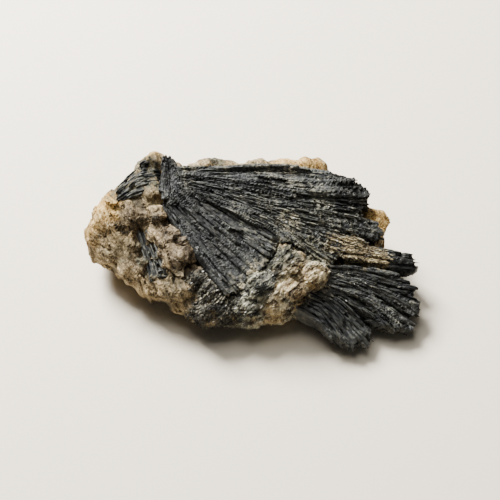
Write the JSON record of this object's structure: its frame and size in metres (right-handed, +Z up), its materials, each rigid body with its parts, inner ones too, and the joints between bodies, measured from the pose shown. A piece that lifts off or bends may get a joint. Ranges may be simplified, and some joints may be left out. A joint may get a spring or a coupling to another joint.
{
  "type": "black kyanite specimen",
  "caption": "Loose mineral specimen: radiating fans of black kyanite blades in and on a pale quartz and mica matrix, with a flat-cut underside to rest on.",
  "frame": {"origin": "on the resting surface, below the middle of the specimen's box", "axes": "+Z up, +X along the specimen from the quartz end to the blade tips, +Y to the back"},
  "size_m": [0.1092, 0.0636, 0.0315],
  "materials": {
    "quartz": "broken milky quartz, iron-stained tan, with a granular mica and feldspar ridge",
    "kyanite": "black striated blades with a satin gloss and a thin grey-green chlorite dusting"
  },
  "bodies": {
    "root": {"quartz_matrix": "quartz", "main_fan": "kyanite", "front_fan": "kyanite"}
  },
  "joints": []
}
